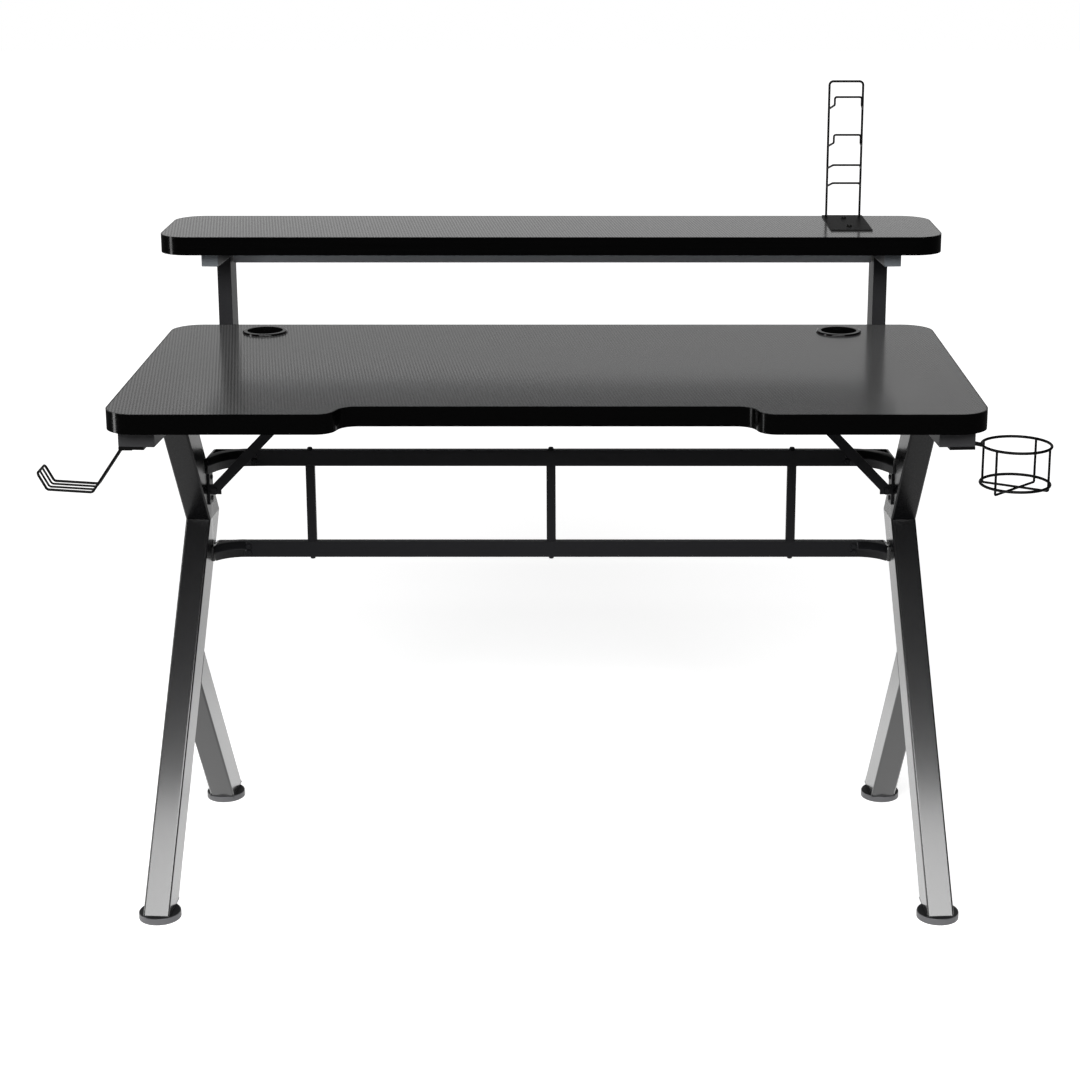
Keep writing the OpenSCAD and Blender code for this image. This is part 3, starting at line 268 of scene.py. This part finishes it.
over = add(tree, "ShaderNodeMath", {"operation": "LESS_THAN", 1: TWILL_OVER}, n0=turn.outputs[0])
in_x = add(tree, "ShaderNodeMath", {"operation": "FRACT"}, n0=cell_x.outputs[0])
in_y = add(tree, "ShaderNodeMath", {"operation": "FRACT"}, n0=cell_y.outputs[0])
tow = add(tree, "ShaderNodeMix", {"data_type": "FLOAT"},
          n0=over.outputs[0], n2=in_y.outputs[0], n3=in_x.outputs[0])
crown = add(tree, "ShaderNodeMath", {"operation": "PINGPONG", 1: TOW_CROWN}, n0=tow.outputs[0])
print_noise = add(tree, "ShaderNodeTexNoise", {"Scale": PRINT_PER_M, "Detail": PRINT_DETAIL},
                  Vector=place.outputs["Object"])
shade = add(tree, "ShaderNodeMix", {"data_type": "RGBA", 6: linear("#5e5e5e"), 7: linear("#3b3b3b")},
            Factor=over.outputs[0])
speck = add(tree, "ShaderNodeMapRange", {"To Min": PRINT_SHADE[0], "To Max": PRINT_SHADE[1]},
            Value=print_noise.outputs[0])
tone = add(tree, "ShaderNodeVectorMath", {"operation": "SCALE"},
           Vector=shade.outputs[2], Scale=speck.outputs[0])
tree.links.new(tone.outputs[0], shader.inputs["Base Color"])
rough = add(tree, "ShaderNodeMapRange", {"To Min": FILM_ROUGH[0], "To Max": FILM_ROUGH[1]},
            Value=over.outputs[0])
tree.links.new(rough.outputs[0], shader.inputs["Roughness"])
shader.inputs["IOR"].default_value = FILM_IOR
relief = add(tree, "ShaderNodeBump", {"Strength": TOW_RELIEF, "Distance": TOW_RELIEF_MM * MM},
             Height=crown.outputs[0])
tree.links.new(relief.outputs[0], shader.inputs["Normal"])
for name in ("desktop_panel", "shelf_panel"):
    smooth(nodes[name])
    wear(nodes[name], film)

# Edge bands: extruded ABS, ironed on to the boards' edges and buffed to a gloss.
# The extruding die leaves fine lines along the band.
DIE_LINE_MM = 1.6
DIE_STREAKS_PER_M = 6.0


def surfaced(name, colour, per_m, detail, rough, relief=None, stretch=None, **shine):
    """A material in one colour with a fine noise, which varies its roughness and, with relief
    as (strength, mm), its height. shine holds the shader's constant inputs."""
    made, tree, shader = new_material(name)
    spot = add(tree, "ShaderNodeTexCoord").outputs["Object"]
    if stretch:
        spot = add(tree, "ShaderNodeMapping", {"Scale": stretch}, Vector=spot).outputs[0]
    grain = add(tree, "ShaderNodeTexNoise", {"Scale": per_m, "Detail": detail}, Vector=spot)
    shader.inputs["Base Color"].default_value = linear(colour)
    for key, value in shine.items():
        shader.inputs[key.replace("_", " ")].default_value = value
    varied = add(tree, "ShaderNodeMapRange", {"To Min": rough[0], "To Max": rough[1]},
                 Value=grain.outputs[0])
    tree.links.new(varied.outputs[0], shader.inputs["Roughness"])
    if relief:
        raised = add(tree, "ShaderNodeBump", {"Strength": relief[0], "Distance": relief[1] * MM},
                     Height=grain.outputs[0])
        tree.links.new(raised.outputs[0], shader.inputs["Normal"])
    return made


band = surfaced("extruded_abs", "#020202", per_m=1.0, detail=2.0, rough=(0.1, 0.24), relief=(0.25, 0.04),
                stretch=(DIE_STREAKS_PER_M, DIE_STREAKS_PER_M, 1000.0 / DIE_LINE_MM),
                IOR=1.5, Specular_IOR_Level=0.12)
for name in ("desktop_edge_band", "shelf_edge_band"):
    smooth(nodes[name])
    wear(nodes[name], band)

# Legs: welded rectangular steel tube with a smooth grey-black powder coat, cured to
# a semi-gloss. The melted powder leaves a faint orange peel and rounds the edges.
PEEL_MM = 2.2
EDGE_MM = 3.0
LONG_EDGE_MM = 100.0
LEG_SEGMENTS = 4
WELD_MM = 0.01
FLAT_DEGREES = 1.0
FLAT_WEIGHT = 100


def rounded(name, width_mm, segments=2, angle=30.0, longer_mm=0.0):
    """A copy of a CAD node with its outer edges rounded as on the real piece, which stands for the node.
    Only edges longer than longer_mm are rounded."""
    source = nodes[name]
    mesh = source.data.copy()
    soft = bmesh.new()
    soft.from_mesh(mesh)
    bmesh.ops.remove_doubles(soft, verts=soft.verts, dist=WELD_MM * MM)
    bmesh.ops.dissolve_limit(soft, angle_limit=math.radians(FLAT_DEGREES),
                             verts=soft.verts, edges=soft.edges)
    weights = [float(e.is_convex and e.calc_length() > longer_mm * MM
                     and e.calc_face_angle(0.0) > math.radians(angle)) for e in soft.edges]
    soft.edges.index_update()
    soft.to_mesh(mesh)
    soft.free()
    mesh.attributes.new("bevel_weight_edge", "FLOAT", "EDGE").data.foreach_set("value", weights)
    piece = bpy.data.objects.new(name + "_rounded", mesh)
    bpy.context.scene.collection.objects.link(piece)
    mesh.polygons.foreach_set("use_smooth", [True] * len(mesh.polygons))
    bevel = piece.modifiers.new("edges", "BEVEL")
    bevel.width = width_mm * MM
    bevel.segments = segments
    bevel.limit_method = "WEIGHT"
    bevel.use_clamp_overlap = longer_mm == 0.0
    flat = piece.modifiers.new("flat_faces", "WEIGHTED_NORMAL")
    flat.weight = FLAT_WEIGHT
    bpy.context.view_layer.update()
    evaluated = piece.evaluated_get(bpy.context.evaluated_depsgraph_get())
    done = bpy.data.meshes.new_from_object(evaluated)
    piece.modifiers.clear()
    piece.data = done
    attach(piece, next(b for b, e in frame["bodies"].items() if nodes[name].parent == e))
    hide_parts(name)
    return piece


coat = surfaced("semi_gloss_powder_coat", "#0e0e0f", per_m=1000.0 / PEEL_MM, detail=1.0,
                rough=(0.2, 0.27), relief=(0.12, 0.05),
                IOR=1.5, Specular_IOR_Level=0.35, Coat_Weight=0.6, Coat_Roughness=0.12)
for side in ("left", "right"):
    for part in ("front_leg", "rear_leg"):
        leg = rounded(f"{side}_{part}", EDGE_MM, segments=LEG_SEGMENTS, longer_mm=LONG_EDGE_MM)
        wear(leg, coat)

# Upper arms: the same tube and powder coat, drawn less glossy than the legs, as the
# photo shows them darker than the floor's reflection would make them.
dull = surfaced("low_gloss_powder_coat", "#0c0c0d", per_m=1000.0 / PEEL_MM, detail=1.0,
                rough=(0.22, 0.3), relief=(0.12, 0.05),
                IOR=1.5, Specular_IOR_Level=0.12, Coat_Weight=0.05, Coat_Roughness=0.15)
for side in ("left", "right"):
    arm = rounded(f"{side}_upper_arm", EDGE_MM, segments=LEG_SEGMENTS, longer_mm=LONG_EDGE_MM)
    wear(arm, dull)

# Rails, posts, crossbars, struts, braces and plates: the same steel, with a black
# powder coat cured to a satin, a little rougher than the legs.
TUBE_EDGE_MM = 1.0
satin = surfaced("satin_black_powder_coat", "#18181a", per_m=1000.0 / PEEL_MM, detail=2.0,
                 rough=(0.36, 0.48), relief=(0.15, 0.05), IOR=1.5, Specular_IOR_Level=0.16)
for name in ("upper_crossbar", "lower_crossbar", "left_strut", "centre_strut", "right_strut",
             "left_shelf_post", "right_shelf_post", "left_shelf_rail", "right_shelf_rail",
             "left_side_rail", "right_side_rail"):
    tube = rounded(name, TUBE_EDGE_MM, longer_mm=LONG_EDGE_MM)
    wear(tube, satin)
for name in ("left_brace", "right_brace", "left_brace_foot", "right_brace_foot", "left_brace_head",
             "right_brace_head", "strut_bolts", "crossbar_bolts", "brace_bolts"):
    smooth(nodes[name])
    wear(nodes[name], satin)

# Tube under the shelf: the same steel tube, its coat painted grey as a painted reflection, which shows as a
# pale line under the shelf's front edge.
painted_reflection_grey = surfaced("painted_reflection_grey_coat", "#999da2", per_m=1000.0 / PEEL_MM, detail=2.0,
                rough=(0.3, 0.42), relief=(0.15, 0.05), IOR=1.5)
tube = rounded("shelf_crossbar", TUBE_EDGE_MM)
wear(tube, painted_reflection_grey)

# Wire goods: mild steel wire, bent on a jig, spot welded where wires meet and
# dipped in black powder, which fills the corners and stays a little glossy.
DIP_GRAINS_PER_M = 1500.0
wire = surfaced("powder_dipped_wire", "#050505", per_m=DIP_GRAINS_PER_M, detail=1.0,
                rough=(0.4, 0.55), IOR=1.5, Specular_IOR_Level=0.1)
for name in ("headphone_hook", "cup_holder", "wire_rack", "rack_base_plate", "hook_plate",
             "cup_holder_plate", "accessory_screws"):
    smooth(nodes[name])
    wear(nodes[name], wire)

# Grommets: injection moulded ABS with polished faces, pressed into the cable
# holes, with a lid that turns.
HAZE_PER_M = 90.0
moulded = surfaced("polished_abs", "#070707", per_m=HAZE_PER_M, detail=3.0,
                   rough=(0.07, 0.16), IOR=1.52, Specular_IOR_Level=0.3)
for name in ("left_grommet_liner", "right_grommet_liner"):
    smooth(nodes[name])
    wear(nodes[name], moulded)

# Grommet lids: the same ABS with a fine grain, which keeps them black where the
# polished liners shine.
LID_GRAINS_PER_M = 1200.0
lid = surfaced("grained_abs", "#080808", per_m=LID_GRAINS_PER_M, detail=2.0,
               rough=(0.4, 0.55), Specular_IOR_Level=0.0)
for name in ("left_grommet_cap", "right_grommet_cap"):
    smooth(nodes[name])
    wear(nodes[name], lid)

# End caps and leg plugs: moulded polypropylene with a fine spark-eroded grain,
# hammered into the tubes.
GRAIN_MM = 0.9
CAP_EDGE_MM = 0.8
cap = surfaced("grained_polypropylene", "#232325", per_m=1000.0 / GRAIN_MM, detail=2.0,
               rough=(0.42, 0.6), relief=(0.3, 0.05), IOR=1.49)
ends = rounded("side_rail_caps", CAP_EDGE_MM)
wear(ends, cap)
for name in nodes:
    if name.endswith("_leg_plug"):
        smooth(nodes[name])
        wear(nodes[name], cap)

# End caps of the shelf's rails: the same moulded plastic, coloured grey, and
# hammered into the rails' ends in the same way.
grey_cap = surfaced("grained_grey_polypropylene", "#585d61", per_m=1000.0 / GRAIN_MM, detail=2.0,
                    rough=(0.42, 0.6), relief=(0.3, 0.05), IOR=1.49)
ends = rounded("shelf_rail_caps", CAP_EDGE_MM)
wear(ends, grey_cap)

# Foot pads: moulded hard rubber discs, smooth, with the rim painted paler than the top as a painted
# highlight where it faces the lamps, each held under its leg by the stem.
BLOOM_PER_M, BLOOM_DETAIL = 60.0, 4.0
PAINTED_RIM_HIGHLIGHT_SPAN = (0.3, 0.8)
PAD_ROUGH = 0.42
PAD_IOR = 1.52
pad, tree, shader = new_material("moulded_rubber")
place = add(tree, "ShaderNodeTexCoord")
bloom = add(tree, "ShaderNodeTexNoise", {"Scale": BLOOM_PER_M, "Detail": BLOOM_DETAIL},
            Vector=place.outputs["Object"])
tone = add(tree, "ShaderNodeMix", {"data_type": "RGBA", 6: linear("#141415"), 7: linear("#1c1c1d")},
           Factor=bloom.outputs[0])
facing = add(tree, "ShaderNodeSeparateXYZ", {}, Vector=place.outputs["Normal"])
top = add(tree, "ShaderNodeMapRange", {"From Min": PAINTED_RIM_HIGHLIGHT_SPAN[0], "From Max": PAINTED_RIM_HIGHLIGHT_SPAN[1]},
          Value=facing.outputs["Z"])
# Faces that don't point up take the pale colour: a painted highlight on the rim.
rim_highlight_painted = add(tree, "ShaderNodeMix", {"data_type": "RGBA", 6: linear("#58585a")},
           Factor=top.outputs[0], n7=tone.outputs[2])
tree.links.new(rim_highlight_painted.outputs[2], shader.inputs["Base Color"])
shader.inputs["Roughness"].default_value = PAD_ROUGH
shader.inputs["IOR"].default_value = PAD_IOR
for name in nodes:
    if name.endswith("_foot_pad"):
        smooth(nodes[name])
        wear(nodes[name], pad)

# Stems, screws and bolts out of sight: zinc-plated steel, bright and slightly
# mottled, turned into the leg plugs, the posts' base plates and the boards.
SPANGLES_PER_M, SPANGLE_DETAIL = 700.0, 2.0
ZINC_ROUGH = 0.32
zinc, tree, shader = new_material("zinc_plated_steel")
place = add(tree, "ShaderNodeTexCoord")
spangle = add(tree, "ShaderNodeTexNoise", {"Scale": SPANGLES_PER_M, "Detail": SPANGLE_DETAIL},
              Vector=place.outputs["Object"])
tone = add(tree, "ShaderNodeMix", {"data_type": "RGBA", 6: linear("#8d9094"), 7: linear("#a9acb0")},
           Factor=spangle.outputs[0])
tree.links.new(tone.outputs[2], shader.inputs["Base Color"])
shader.inputs["Metallic"].default_value = 1.0
shader.inputs["Roughness"].default_value = ZINC_ROUGH
for name in nodes:
    if name.endswith("_foot_stem") or name in ("post_bolts", "desktop_screws", "shelf_screws"):
        smooth(nodes[name])
        wear(nodes[name], zinc)
